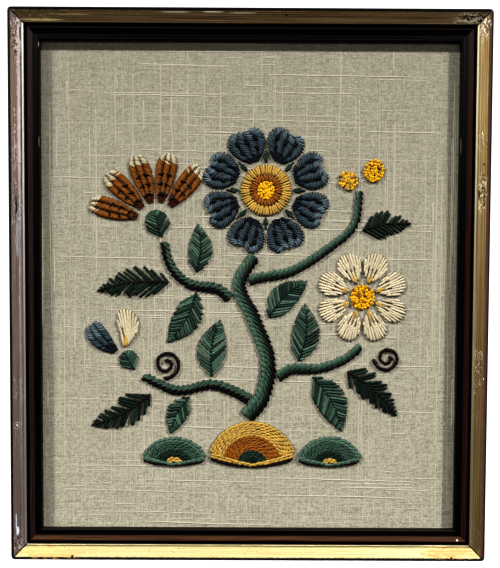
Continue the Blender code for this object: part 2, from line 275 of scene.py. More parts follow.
class Work:
    """The yarns of one piece, gathered before they are made into a mesh."""

    def __init__(self):
        self.points, self.faces, self.count = [], [], 0
        self.skeins, self.skein_of_face = [], []
        self.attributes = {"fibre": [], "tone": [], "painted_light_share": []}

    def lay(self, path, radius, skein, risen=1.0, sides=YARN_SIDES, ply=PLY_DEPTH, high=YARN_HIGH):
        """Lays a length of yarn along a path of places and heights, as a closed tube of two twisted plies.

        Its sides, and its ends where it hasn't risen from the cloth, are painted in shade.
        """
        step = np.gradient(path, axis=0)
        way = step / np.linalg.norm(step, axis=1, keepdims=True)
        side = np.stack([-way[:, 1], way[:, 0], np.zeros(len(path))], axis=1)
        side /= np.maximum(np.linalg.norm(side, axis=1, keepdims=True), 1e-6)
        over = np.cross(way, side)
        along = np.concatenate([[0.0], np.cumsum(np.linalg.norm(np.diff(path, axis=0), axis=1))])
        turn = (chance.uniform(0, 2 * math.pi) + 2 * math.pi * along / PLY_TURN)[:, None]
        angle = np.linspace(-math.pi / 2, 1.5 * math.pi, sides, endpoint=False)[None, :]
        lobes = 1 + ply * np.cos(2 * (angle - turn))
        across = (np.cos(angle) * lobes * radius[:, None])[..., None]
        tall = (np.sin(angle) * lobes * radius[:, None] * high)[..., None]
        rings = path[:, None, :] + side[:, None, :] * across + over[:, None, :] * tall
        self.points.append(rings.reshape(-1, 3))
        seed = chance.uniform(0, 500)
        wrap = (angle - turn) * YARN
        lengthways = np.repeat(along[:, None], sides, axis=1)
        fibre = np.stack([lengthways, wrap, np.full_like(wrap, seed)], axis=2).reshape(-1, 3)
        tone = np.full(rings.shape[0] * sides, chance.normal(1.0, 0.09))
        # Painted light and shade: full light on the yarn's upper side, painted shade on its sides and sunk
        # ends
        upper = np.clip((np.sin(angle) + 0.1) / 0.9, 0, 1) * np.ones((len(path), 1))
        painted_light_share = (upper * np.broadcast_to(risen, len(path))[:, None]).ravel()
        for values, more in zip(self.attributes.values(), (fibre, tone, painted_light_share)):
            values.append(more)
        if skein not in self.skeins:
            self.skeins.append(skein)
        here = self.count + np.arange(len(path) * sides).reshape(len(path), sides)
        right = np.roll(here, -1, axis=1)
        walls = np.stack([here[:-1], right[:-1], right[1:], here[1:]], axis=2).reshape(-1, 4)
        self.faces += walls.tolist()
        self.faces += [here[0][::-1].tolist(), here[-1].tolist()]
        self.skein_of_face += [self.skeins.index(skein)] * (len(walls) + 2)
        self.count += len(path) * sides

    def piece(self, name, slot, replaced):
        """Makes the mesh that takes the place of the plain worked patches."""
        points = to_row(np.concatenate(self.points))
        attributes = {key: np.concatenate(values) for key, values in self.attributes.items()}
        materials = [wools[skein] for skein in self.skeins]
        made = make_piece(name, points, self.faces, materials, self.skein_of_face, attributes)
        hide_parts(*replaced)
        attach(made, "root")


def stitch(work, start, end, skein, thick=1.0, lift=0.0, bow=0.0, arched=None):
    """A stitch: it comes up through the cloth, lies over it and goes down again; a padded one is arched."""
    start = np.asarray(start, float) + chance.normal(0, JITTER, 2) / 2
    end = np.asarray(end, float) + chance.normal(0, JITTER, 2) / 2
    reach = end - start
    length = max(0.5, float(np.linalg.norm(reach)))
    rings = max(6, int(length / 1.3) + 5)
    share = 0.5 - 0.5 * np.cos(np.pi * np.linspace(0, 1, rings))
    arch = 1 - np.abs(2 * share - 1) ** (arched or max(4.0, length / 1.6))
    side = np.array([-reach[1], reach[0]]) / length
    sway = (bow + chance.normal(0, 0.12)) * np.sin(np.pi * share)
    flat = start + share[:, None] * reach + sway[:, None] * side
    height = -DIP + (DIP + thick * YARN * YARN_HIGH * 0.7 + lift + chance.uniform(0, 0.15)) * arch
    radius = YARN * thick * chance.normal(1.0, 0.05) * (0.5 + 0.5 * np.sqrt(np.maximum(arch, 0.0)))
    # The stitch's ends, where it goes into the cloth, are painted in shade
    work.lay(np.column_stack([flat, height]), radius, skein, 0.15 + 0.85 * arch)


def knot(work, place, skein):
    """A French knot: the yarn wound round itself on the cloth, with its end drawn down through the middle."""
    turns = 1.35
    share = np.linspace(0, 1, 15)
    angle = chance.uniform(0, 2 * math.pi) + 2 * math.pi * turns * share
    around = 1.05 * (1 - 0.75 * share**3)
    height = -0.4 + 1.5 * np.sin(np.pi * np.minimum(1.0, share * 1.15) * 0.62) + 0.3 * share
    path = np.column_stack([place[0] + around * np.cos(angle), place[1] + around * np.sin(angle), height])
    radius = 0.9 * (0.6 + 0.4 * np.sin(np.pi * share) ** 0.5)
    # The knot's low turns are painted in shade
    work.lay(path, radius, skein, 0.35 + 0.65 * np.clip(height, 0, 1))


def heading(turn):
    """The unit way at an angle in radians."""
    return np.array([math.cos(turn), math.sin(turn)])


def ways(patch):
    """The unit ways along a patch and to its left."""
    axis = heading(math.radians(patch.angle))
    return axis, np.array([-axis[1], axis[0]])


def half_width(patch, share):
    """How far a patch reaches to each side of its middle line, at a share of its length from the root."""
    shape = SHAPES[patch.shape]
    share = np.clip(share, 0.0, 1.0)
    fullest = shape.root / (shape.root + shape.tip)
    swell = (share / fullest) ** shape.root * ((1 - share) / (1 - fullest)) ** shape.tip
    if shape.teeth:
        swell = swell * (0.6 + 0.4 * np.abs(np.sin(math.pi * shape.teeth * share)))
    return patch.width / 2 * swell


def middle_line(patch, share):
    """The place on a patch's middle line at a share of its length."""
    axis, left = ways(patch)
    bend = patch.bend * patch.length * math.sin(math.pi * share)
    return np.array([patch.x, patch.z]) + share * patch.length * axis + bend * left


def within(patch, places):
    """Which of the places lie inside a patch's outline."""
    axis, left = ways(patch)
    away = places - np.array([patch.x, patch.z])
    share = away @ axis / patch.length
    beside = away @ left - patch.bend * patch.length * np.sin(np.pi * np.clip(share, 0, 1))
    limit = half_width(patch, share)
    limit = np.where(beside < 0, limit * SHAPES[patch.shape].underside, limit)
    return (share > 0) & (share < 1) & (np.abs(beside) < limit)


def ray_inside(patch, start, way, reach):
    """How far along a ray its first and last places inside a patch are, or None."""
    steps = np.arange(0, reach, RAY_STEP)
    found = steps[within(patch, np.asarray(start) + steps[:, None] * way)]
    if len(found) == 0:
        return None
    return found[0], found[-1]


def outline(patch, count):
    """Places round a patch's edge, from its root along its left side and back."""
    axis, left = ways(patch)
    underside = SHAPES[patch.shape].underside
    shares = 0.5 - 0.5 * np.cos(np.pi * np.linspace(0, 1, count))
    there = [middle_line(patch, s) + float(half_width(patch, s)) * left for s in shares]
    back = [middle_line(patch, s) - float(half_width(patch, s)) * underside * left for s in shares[::-1]]
    return np.array(there + back)


def fishbone(work, patch, left_skeins, right_skeins, slant=46, pitch=PITCH, gather=0.7, spread=3.0, thick=1.0,
             lift=0.3):
    """Slanting stitches from the middle line out to each edge, like the bones of a fish."""
    _, left = ways(patch)
    for hand, skeins in ((1, left_skeins), (-1, right_skeins)):
        along = 0.6
        while along < patch.length * 0.97:
            share = along / patch.length
            turn = math.radians(patch.angle + hand * (slant + chance.uniform(-spread, spread)))
            turn += math.atan(patch.bend * math.pi * math.cos(math.pi * share))
            way = heading(turn)
            start = middle_line(patch, share)
            found = ray_inside(patch, start + 0.3 * way, way, patch.length)
            if found and found[1] > 1.6:
                skein = skeins[chance.integers(len(skeins))]
                end = start + (found[1] + 0.4) * way
                risen = lift * math.sin(math.pi * share)
                stitch(work, start - gather * hand * left, end, skein, thick, risen)
            along += pitch / math.sin(math.radians(slant)) * chance.uniform(0.92, 1.08)
    stitch(work, middle_line(patch, 0.8), middle_line(patch, 1.0), left_skeins[0], lift=0.2)


def long_and_short(work, patch, focus, bands, stagger, thick):
    """Stitches fanned from a focus, in bands from the edge inwards whose ends are staggered.

    Each band is the shares of the ray where it ends and starts, and its skein.
    """
    focus = np.asarray(focus, float)
    edge = outline(patch, 40) - focus
    middle = middle_line(patch, 0.5) - focus
    facing = math.atan2(middle[1], middle[0])
    angles = np.arctan2(edge[:, 1], edge[:, 0]) - facing
    angles = (angles + np.pi) % (2 * np.pi) - np.pi
    fan = angles.max() - angles.min()
    far = np.linalg.norm(edge, axis=1)
    rays = max(3, int(fan * np.percentile(far, 70) / (PITCH * thick)))
    for outer, inner, skein in bands:
        for ray in range(rays):
            turn = facing + angles.min() + (ray + 0.5) / rays * fan
            way = heading(turn)
            found = ray_inside(patch, focus, way, far.max() + 2)
            if not found or found[1] - found[0] < 1.5:
                continue
            near, reach = found
            spacing = fan / rays * (near + (reach - near) * (inner + outer) / 2)
            if spacing < 0.62 * PITCH * thick and ray % 2:
                continue
            odd = stagger * (1 if ray % 2 else -1)
            high = near + (reach - near) * outer + (0 if outer >= 1 else odd)
            low = near + (reach - near) * inner + (0 if inner <= 0 else odd - 1.2)
            high = min(high + 0.3, reach + 0.3)
            low = max(low, near)
            if high - low > 1.4:
                stitch(work, focus + low * way, focus + high * way, skein, thick, 0.2 * (1 - outer))


def walk(line):
    """A line's length, and a function from a distance along it to the place and the left way there."""
    line = np.asarray(line, float)
    run = np.concatenate([[0.0], np.cumsum(np.linalg.norm(np.diff(line, axis=0), axis=1))])
    slope = np.gradient(line, axis=0)
    slope /= np.linalg.norm(slope, axis=1, keepdims=True)

    def at(distance):
        place = np.array([np.interp(distance, run, line[:, k]) for k in (0, 1)])
        way = np.array([np.interp(distance, run, slope[:, k]) for k in (0, 1)])
        return place, np.array([-way[1], way[0]])

    return run[-1], at


def satin_row(work, line, widths, skeins, slant, crown, thick):
    """A padded row of satin stitches, each crossing the row at a slant; skeins change along it."""
    total, at = walk(line)
    shares = np.linspace(0, 1, len(widths))
    along = 0.4
    while along < total:
        place, left = at(along)
        onward = np.array([left[1], -left[0]])
        half = float(np.interp(along / total, shares, widths)) / 2
        if half > 0.7:
            lean = half / math.tan(math.radians(slant))
            spot = along / total * len(skeins) + chance.normal(0, 0.18)
            skein = skeins[int(min(len(skeins) - 1, max(0, spot)))]
            reach = half * left + lean * onward
            height = crown * min(1.0, half / 3.0)
            stitch(work, place - reach, place + reach, skein, thick, height, arched=2.6)
        along += PITCH * thick / math.sin(math.radians(slant)) * chance.uniform(0.93, 1.07)


def satin_patch(work, patch, rows, skeins, slant, crown, thick):
    """A patch filled with padded satin rows that run side by side from its root to its tip."""
    _, left = ways(patch)
    shares = np.linspace(0.1, 0.97, 24)
    halves = half_width(patch, shares)
    for row in range(rows):
        shift = (row + 0.5) / rows * 2 - 1
        line = [middle_line(patch, s) + shift * half * left for s, half in zip(shares, halves)]
        satin_row(work, line, 2 * halves / rows, skeins, slant, crown, thick)


def stem_rows(work, line, width, tip_width, skeins, length=8.5, thick=1.0, slant=0.5, lift=0.0):
    """Rows of slanting stitches side by side along a line, each row in its skein from left to right."""
    total, at = walk(line)
    rows = max(1, round(width / PITCH))

    def in_row(shift, distance, slide=0.0):
        place, left = at(distance)
        here = width + (tip_width - width) * distance / total
        return place + left * (shift * (here - PITCH * 0.4) + slide * PITCH * 0.5)

    for row in range(rows):
        shift = 0.5 - (row + 0.5) / rows
        skein = skeins[min(len(skeins) - 1, int(row / rows * len(skeins)))]
        start = -chance.uniform(0.2, 0.8) * length
        while start < total - 1.5:
            low = max(0.0, start)
            high = min(total, start + length * chance.uniform(0.9, 1.1))
            first, last = in_row(shift, low, -slant), in_row(shift, high, slant)
            left = np.array([first[1] - last[1], last[0] - first[0]])
            left /= max(1e-6, np.linalg.norm(left))
            bow = float((in_row(shift, (low + high) / 2) - (first + last) / 2) @ left)
            if high - low > 1.2:
                crown = 0.5 * math.cos(math.pi * shift) if rows > 2 else 0.0
                stitch(work, first, last, skein, thick, lift + crown, bow)
            start += length * 0.7


def smooth_line(points, steps):
    """A smooth line through all the points, by the Catmull-Rom rule."""
    through = [np.asarray(point, float) for point in points]
    through = [2 * through[0] - through[1], *through, 2 * through[-1] - through[-2]]
    line = []
    for before, here, there, after in zip(through, through[1:], through[2:], through[3:]):
        for t in np.arange(steps) / steps:
            bend = 2 * before - 5 * here + 4 * there - after
            sway = 3 * here - before - 3 * there + after
            line.append(0.5 * (2 * here + (there - before) * t + bend * t**2 + sway * t**3))
    line.append(np.asarray(points[-1], float))
    return np.array(line)


def curl_line(curl):
    """A curl's line, from its outer end round to its eye."""
    share = np.linspace(0, 1, 60)
    turn = np.radians(curl.first + 360 * curl.turns * share)
    radius = curl.radius + (curl.eye - curl.radius) * share
    return np.column_stack([curl.x + radius * np.cos(turn), curl.z + radius * np.sin(turn)])


def petals_of(flower):
    """A flower's petals, set round its middle."""
    for number in range(flower.petals):
        angle = flower.first + number * flower.step
        root = np.array([flower.x, flower.z]) + flower.start * heading(math.radians(angle))
        name = f"{flower.name}_petal_{number + 1}"
        yield Patch(name, *root, angle, flower.length, flower.width, "petal", 0.0)


def heart_of(flower):
    """The round patch in the middle of a flower."""
    radius = flower.start - HEART_CLEARANCE
    return Patch(flower.name + "_heart", flower.x - radius, flower.z, 0, 2 * radius, 2 * radius, "round", 0.0)


def ring_of_stitches(work, centre, inner, outer, skein, lift=0.0, thick=1.0):
    """Stitches set like spokes between two circles."""
    spokes = int(math.pi * (inner + outer) / (PITCH * thick))
    for spoke in range(spokes):
        turn = 2 * math.pi * (spoke + chance.uniform(-0.15, 0.15)) / spokes
        way = heading(turn)
        slip = 0.6 if spoke % 2 else -0.6
        stitch(work, centre + (inner + slip) * way, centre + (outer + slip * 0.3) * way, skein, thick, lift)


def knots_in(work, patch, skeins):
    """French knots in rings from a patch's edge to its middle."""
    pitch = 2.9
    axis, left = ways(patch)
    middle = middle_line(patch, 0.5)
    half_long, half_wide = patch.length / 2 - 1.4, patch.width / 2 - 1.4
    rings = max(1, round(min(half_long, half_wide) / (pitch * 0.87)))
    for ring in range(rings + 1):
        share = 1 - ring / rings
        count = max(1, round(math.pi * (half_long + half_wide) * share / pitch))
        for number in range(count):
            turn = 2 * math.pi * (number + 0.5 * ring) / count
            place = middle + share * (half_long * math.cos(turn) * axis + half_wide * math.sin(turn) * left)
            knot(work, place + chance.normal(0, 0.22, 2), skeins[chance.integers(len(skeins))])


def tuft(work, root, angle, lengths, skein, spread=14.0, lift=0.3, thick=0.9):
    """Straight stitches fanned from a root."""
    for number, length in enumerate(lengths):
        turn = math.radians(angle + spread * (number - (len(lengths) - 1) / 2))
        stitch(work, root, root + length * heading(turn), skein, thick, lift)


def spots(work, patch, skein, places):
    """Small blocks of three stitches laid over a petal, at shares of its length and of its half width."""
    axis, left = ways(patch)
    for share, beside in places:
        middle = middle_line(patch, share) + beside * float(half_width(patch, share)) * left
        for step in (-1, 0, 1):
            reach = 1.5 * left + 0.7 * axis
            spot = middle + step * 1.25 * axis
            stitch(work, spot - reach, spot + reach, skein, 0.8, 1.5)


def bars(work, patch, skein, shares):
    """Short stitches across a petal, laid in chevrons over it."""
    axis, left = ways(patch)
    for share in shares:
        reach = float(half_width(patch, share)) * 0.8
        middle = middle_line(patch, share + 0.06)
        for hand in (-1, 1):
            stitch(work, middle, middle + hand * reach * left - 0.07 * patch.length * axis, skein, 0.8, 1.3)


def work_bloom():
    petals = Work()
    centre = np.array([BLOOM.x, BLOOM.z], float)
    shades = ["ink blue", "slate blue", "slate blue", "slate blue", "pale slate"]
    replaced = []
    for petal in petals_of(BLOOM):
        satin_patch(petals, petal, 4, shades, 58, 1.0, 0.82)
        spots(petals, petal, "black", ((0.42, -0.5), (0.42, 0.5), (0.68, 0.0), (0.72, -0.5), (0.72, 0.5)))
        between = petal.angle + BLOOM.step / 2
        tuft(petals, centre + 23.6 * heading(math.radians(between)), between, (6.5, 10.5, 6.5), "deep sage")
        replaced.append(petal.name)
    petals.piece("bloom_petal_stitches", "slate_blue_wool", replaced)
    heart = Work()
    ring_of_stitches(heart, centre, 13.4, 22.2, "gold", 0.4, 0.95)
    ring_of_stitches(heart, centre, 7.4, 14.2, "rust", 0.6, 0.95)
    eye = Patch("bloom_eye", BLOOM.x - 7.8, BLOOM.z, 0, 15.6, 15.6, "round", 0.0)
    knots_in(heart, eye, ["bright yellow"])
    heart.piece("bloom_heart_stitches", "gold_wool", [heart_of(BLOOM).name])


def work_daisy():
    petals = Work()
    centre = np.array([DAISY.x, DAISY.z], float)
    replaced = []
    for petal in petals_of(DAISY):
        bands = ((1.0, 0.45, "cream"), (0.5, 0.0, "cream"))
        long_and_short(petals, petal, centre, bands, 1.8, 1.12)
        way = ways(petal)[0]
        tuft(petals, centre + 12.2 * way, petal.angle, (7.0, 11.0, 8.0), "gold", 13.0, 0.9, 0.75)
        replaced.append(petal.name)
    petals.piece("daisy_petal_stitches", "cream_wool", replaced)
    knots = Work()
    heart = heart_of(DAISY)
    knots_in(knots, heart, ["bright yellow", "bright yellow", "bright yellow", "rust"])
    knots.piece("daisy_heart_stitches", "yellow_wool", [heart.name])


def work_carnation():
    petals = Work()
    shades = ["dark rust", "rust", "rust", "rust", "rust", "cream"]
    replaced = []
    for petal in petals_of(CARNATION):
        satin_patch(petals, petal, 3, shades, 62, 1.1, 0.62)
        bars(petals, petal, "dark brown", (0.22, 0.4, 0.57))
        replaced.append(petal.name)
    petals.piece("carnation_petal_stitches", "rust_wool", replaced)


def work_bud():
    slate = Work()
    satin_patch(slate, BUD_LEFT, 3, ["ink blue", "slate blue", "pale slate"], 58, 0.9, 0.82)
    slate.piece("bud_slate_stitches", "slate_blue_wool", [BUD_LEFT.name])
    cream = Work()
    root = middle_line(BUD_CALYX, 0.4)
    long_and_short(cream, BUD_RIGHT, root, ((1.0, 0.5, "cream"), (0.56, 0.0, "cream")), 1.8, 1.1)
    tuft(cream, middle_line(BUD_RIGHT, 0.02), BUD_RIGHT.angle, (8.0, 12.0, 9.0), "gold", 12.0, 0.9, 0.75)
    cream.piece("bud_cream_stitches", "cream_wool", [BUD_RIGHT.name])


def work_leaves():
    leaves = Work()
    shades = ["sage", "sage", "pale sage", "deep sage"]
    green = [*LEAVES, CARNATION_CALYX, BUD_CALYX]
    for leaf in green:
        fishbone(leaves, leaf, shades, shades[1:], lift=0.5)
        line = [middle_line(leaf, share) for share in np.linspace(0.0, 0.86, 20)]
        stem_rows(leaves, line, PITCH, PITCH, ["dark green"], 6.0, 0.75, 0.2, 0.9)
    leaves.piece("leaf_stitches", "sage_wool", [leaf.name for leaf in green])


def work_fronds():
    fronds = Work()
    for frond in FRONDS:
        fishbone(fronds, frond, ["dark green", "dark green", "deep sage"], ["dark green"],
                 44, 3.0, 0.3, 6.0, 1.15)
        line = [middle_line(frond, share) for share in np.linspace(0.0, 0.95, 24)]
        stem_rows(fronds, line, PITCH, PITCH, ["dark brown"], 6.0, 1.0, 0.2, 0.7)
    fronds.piece("frond_stitches", "dark_green_wool", [frond.name for frond in FRONDS])


def work_stems():
    stems = Work()
    shades = ["pale sage", "sage", "sage", "deep sage", "dark brown", "black"]
    for stem in STEMS:
        line = smooth_line(stem.points, 12)
        skeins = shades[::-1] if line[-1][0] < line[0][0] else shades
        stem_rows(stems, line, stem.width, stem.tip_width, skeins, 6.8, 1.08, 1.45)
    stems.piece("stem_stitches", "sage_wool", [stem.name for stem in STEMS])


def work_curls():
    curls = Work()
    for curl in CURLS:
        stem_rows(curls, curl_line(curl), PITCH, PITCH, ["dark brown"], 5.0, 1.3, 0.3)
    curls.piece("curl_stitches", "dark_brown_wool", [curl.name for curl in CURLS])


def work_mounds():
    grass = ["pale sage", "sage", "sage", "deep sage", "dark green", "gold", "rust"]
    corn = ["gold", "gold", "rust", "rust", "deep sage", "dark green"]
    for mound in MOUNDS:
        hill = Work()
        bands = corn if mound.name == "mound_middle" else grass
        under = SHAPES[mound.shape].underside * mound.width / 2
        focus = middle_line(mound, 0.5) - [0.0, 0.8 * under]
        shares = np.linspace(0.012, 0.988, 50)
        top = np.array([middle_line(mound, s) + [0.0, float(half_width(mound, s)) - 0.6] for s in shares])
        rows = round((mound.width / 2 + 0.8 * under) / (PITCH * 1.02))
        for row in range(rows - 1):
            line = focus + (top - focus) * (1 - (row + 0.35) / rows)
            skein = bands[int(row / rows * len(bands))]
            stem_rows(hill, line, PITCH, PITCH, [skein], 6.4, 1.08, 0.9, 0.6)
        # The foot of the hill bows a little below its rows, and is filled down to a dark line
        rise = float(half_width(mound, shares[0])) - 0.6
        for share, skein, lift in ((0.08, bands[0], 0.9), (0.5, bands[0], 0.7), (1.0, "dark brown", 0.4)):
            foot = []
            for s in np.linspace(0.03, 0.97, 30):
                beside = abs(2 * s - 1)
                chord = 0.8 * under * (1 - beside) - rise * beside
                bowed = under * math.sin(math.pi * s) ** 0.6 - 0.8
                foot.append(middle_line(mound, s) - [0.0, chord + (bowed - chord) * share])
            stem_rows(hill, foot, PITCH, PITCH, [skein], 6.4, 1.08, 0.5, lift)
        slot = "gold_wool" if mound.name == "mound_middle" else "sage_wool"
        hill.piece(mound.name + "_stitches", slot, [mound.name])


def work_berries():
    knots = Work()
    for berry in BERRIES:
        knots_in(knots, berry, ["bright yellow", "bright yellow", "gold"])
    knots.piece("berry_stitches", "yellow_wool", [berry.name for berry in BERRIES])


def ripple(points, wave, seed):
    """A smooth unevenness between about -1 and 1, from a few sine waves of about that length."""
    draw = np.random.default_rng(seed)
    total = np.zeros(len(points))
    for _ in range(6):
        way = draw.normal(size=points.shape[1])
        way *= 2 * math.pi / (wave * draw.uniform(0.6, 1.6)) / np.linalg.norm(way)
        total += np.sin(points @ way + draw.uniform(0, 2 * math.pi))
    return total / 3


def by_height(tree, where, low, high):
    """A value that runs from one at the linen's foot to another at its head."""
    upright = add(tree, "SeparateXYZ", {"Vector": where}, take="Z")
    ends = {"From Min": linen_low.z * MM, "From Max": linen_high.z * MM}
    return add(tree, "MapRange", {"Value": upright, **ends, "To Min": low, "To Max": high})


def slubbed_linen():
    """Linen in plain weave: matt flax, each thread of its own tone for a short way, with a fine uneven grain.

    Its upper part is painted a little darker as shade, and its two sides with a painted shadow of the
    frame; its weave's tones are evened out towards its top.
    """
    made, tree, shader = new_material("slubbed linen")
    where = add(tree, "TexCoord", take="Object")
    weft = add(tree, "Mapping", {"Vector": where, "Rotation": (0.0, WEFT_LEAN, 0.0)})
    # The weave is drawn at 0.7 mm a thread, coarser than the real 0.5 mm, so that it shows
    thread = 1 / (0.7 * MM)
    parts = (
        (weft, (thread / 4.5, thread, thread), 0.0, 0.85),
        (where, (thread, thread, thread / 4.5), 0.3, 0.68),
        (weft, (thread / 60, thread, thread), 0.5, 0.46),
        (where, (thread, thread, thread / 60), 0.7, 0.46),
        (where, (thread * 1.9, thread, thread * 1.9), 0.9, 1.05),
    )
    total = 0.5
    for laid, scale, away, weight in parts:
        noise = grained(tree, laid, scale, (away, away, away), Detail=1.0)
        level = add(tree, "Math", {0: noise, 1: 0.5}, operation="SUBTRACT")
        total = add(tree, "Math", {0: level, 1: weight, 2: total}, operation="MULTIPLY_ADD")
    uneven = add(tree, "Math", {0: total, 1: 0.5}, operation="SUBTRACT")
    evened = by_height(tree, where, 1.1, 0.88)
    total = add(tree, "Math", {0: uneven, 1: evened, 2: 0.5}, operation="MULTIPLY_ADD")
    share = add(tree, "MapRange", {"Value": total, "From Min": 0.05, "From Max": 0.95})
    flax = {0: share, 6: linear_colour("#847E6A"), 7: linear_colour("#D0CAB7")}
    woven = add(tree, "Mix", flax, take=2, data_type="RGBA")
    # Painted shade: the cloth darker towards its top, and a painted shadow of the frame along its two sides
    painted_shading = by_height(tree, where, 1.14, 0.87)
    across = add(tree, "SeparateXYZ", {"Vector": where}, take="X")
    sideways = add(tree, "Math", {0: across}, operation="ABSOLUTE")
    inner, outer = ((linen_high.x - margin) * MM for margin in SHADED_MARGIN)
    side_shadow_range = {"From Min": inner, "From Max": outer, "To Min": 1.0, "To Max": 0.76}
    painted_side_shadow = add(tree, "MapRange", {"Value": sideways, **side_shadow_range})
    painted_shading = add(tree, "Math", {0: painted_shading, 1: painted_side_shadow}, operation="MULTIPLY")
    retoned = add(tree, "HueSaturation", {"Color": woven, "Value": painted_shading})
    bump = add(tree, "Bump", {"Height": total, "Strength": 0.7, "Distance": 0.3 * MM})
    join(tree, shader, {"Base Color": retoned, "Normal": bump, "Roughness": 0.92, "Specular IOR Level": 0.2})
    return made


def slub_thread():
    """A slub: a loosely spun length of flax, thicker and paler than the threads about it."""
    made, tree, shader = new_material("pale linen slub")
    where = add(tree, "TexCoord", take="Object")
    fine = add(tree, "TexNoise", {"Vector": where, "Scale": 900.0, "Detail": 2.0})
    pale = {0: fine, 6: linear_colour("#B2AA95"), 7: linear_colour("#D9D2BE")}
    spun = add(tree, "Mix", pale, take=2, data_type="RGBA")
    # Painted shade: the slubs darken towards the linen's top, as the cloth does
    retoned = add(tree, "HueSaturation", {"Color": spun, "Value": by_height(tree, where, 1.02, 0.9)})
    join(tree, shader, {"Base Color": retoned, "Roughness": 0.9})
    return made


def linen_sag(flat):
    """How far the stretched linen lies back at places on its face, nothing near its edges."""
    sag = 0.08 * ripple(flat, 45.0, 3) + 0.05 * ripple(flat, 14.0, 4)
    half = (linen_high.z - linen_low.z) / 2
    edge = np.minimum(linen_high.x - np.abs(flat[:, 0]), half - np.abs(flat[:, 1] - MIDDLE_Z))
    return np.abs(sag) * np.clip((edge - 8) / 10, 0, 1)


def stretched_linen():
    """The linen's face, its four sides and the margin turned onto the back, as one sheet over the board."""
    low, high = linen_low, linen_high
    width, height, depth = high.x - low.x, high.z - low.z, high.y - low.y
    fold = 0.5
    steps = 150
    # Each step of the rim is how far it lies in from the side, and how far back from the face
    margin = np.linspace(TURNED_MARGIN, fold, 8)
    corner = np.linspace(0, math.pi / 2, 4)[1:-1]
    rim = [(m, depth) for m in margin]
    rim += [(fold - fold * math.sin(a), depth - fold + fold * math.cos(a)) for a in corner]
    rim += [(0.0, d) for d in np.linspace(depth - fold, fold, 4)]
    rim += [(fold - fold * math.cos(a), fold - fold * math.sin(a)) for a in corner]
    inner_x = np.linspace(fold, width - fold, steps)
    inner_z = np.linspace(fold, height - fold, round(steps * height / width))
    grid_x, grid_z = np.meshgrid(inner_x, inner_z)
    flat = np.column_stack([grid_x.ravel() + low.x, grid_z.ravel() + low.z])
    face = np.column_stack([flat[:, 0], low.y + linen_sag(flat), flat[:, 1]])
    points = [face]
    index = np.arange(len(face)).reshape(len(inner_z), len(inner_x))
    quads = np.stack([index[:-1, :-1], index[:-1, 1:], index[1:, 1:], index[1:, :-1]], axis=2)
    faces = quads.reshape(-1, 4).tolist()
    border = np.concatenate([index[0, :-1], index[:-1, -1], index[-1, :0:-1], index[:0:-1, 0]])
    last = border
    count = len(face)
    around = face[border]
    for inset, back in rim[::-1]:
        ring = around.copy()
        for axis, start, size in ((0, low.x, width), (2, low.z, height)):
            ends_low = np.isclose(around[:, axis], start + fold)
            ends_high = np.isclose(around[:, axis], start + size - fold)
            ring[ends_low, axis] = start + inset
            ring[ends_high, axis] = start + size - inset
            if inset > fold:
                ring[:, axis] = np.clip(ring[:, axis], start + inset, start + size - inset)
        ring[:, 1] = low.y + back
        points.append(ring)
        now = count + np.arange(len(border))
        ahead_last, ahead_now = np.roll(last, -1), np.roll(now, -1)
        faces += np.stack([now, ahead_now, ahead_last, last], axis=1).tolist()
        last = now
        count += len(border)
    piece = make_piece("linen_ground", np.concatenate(points) * MM, faces, [slubbed_linen()])
    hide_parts("linen")
    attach(piece, "root")
    return piece


def linen_slubs():
    """The thicker threads of the weave, a little raised on the face in both ways of the cloth."""
    work = Work()
    half_x, half_z = SLUBBED
    for across, count, longest in ((True, 215, 150.0), (False, 200, 190.0)):
        for _ in range(count):
            length = 10 + longest * chance.random() ** 2.0
            x = chance.uniform(-half_x, half_x - (length if across else 0))
            z = chance.uniform(-half_z, half_z - (0 if across else length))
            rings = max(6, int(length / 3.4))
            share = np.linspace(0, 1, rings)
            wave = 0.1 * np.cumsum(chance.normal(0, 1, rings))
            lengthways = share * length
            if across:
                run = (x + lengthways, z + wave - WEFT_LEAN * lengthways)
            else:
                run = (x + wave, z + lengthways)
            thick = 0.3 + 0.46 * chance.random() ** 1.5
            radius = thick * (0.3 + 0.7 * np.sin(np.pi * share) ** 0.4) * chance.uniform(0.75, 1.25, rings)
            height = 0.01 - linen_sag(np.column_stack([run[0], run[1] + MIDDLE_Z]))
            work.lay(np.column_stack([*run, height]), radius, "slub", sides=6, ply=0.0, high=0.09)
    piece = make_piece("linen_slubs", to_row(np.concatenate(work.points)), work.faces, [slub_thread()])
    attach(piece, "root")
    return piece


def softened(profile, radius, spacing):
    """A profile with its corners rounded and its long runs divided."""
    corners = np.asarray(profile, float)
    round_points = []
    for before, here, after in zip(np.roll(corners, 1, axis=0), corners, np.roll(corners, -1, axis=0)):
        back, on = before - here, after - here
        reach = min(radius, 0.45 * np.linalg.norm(back), 0.45 * np.linalg.norm(on))
        start = here + back / np.linalg.norm(back) * reach
        end = here + on / np.linalg.norm(on) * reach
        for t in (0.0, 0.5, 1.0):
            round_points.append((1 - t) ** 2 * start + 2 * t * (1 - t) * here + t**2 * end)
    dense = []
    for here, after in zip(round_points, round_points[1:] + round_points[:1]):
        pieces = max(1, int(np.linalg.norm(after - here) / spacing))
        dense += [here + (after - here) * k / pieces for k in range(pieces)]
    return np.array(dense)


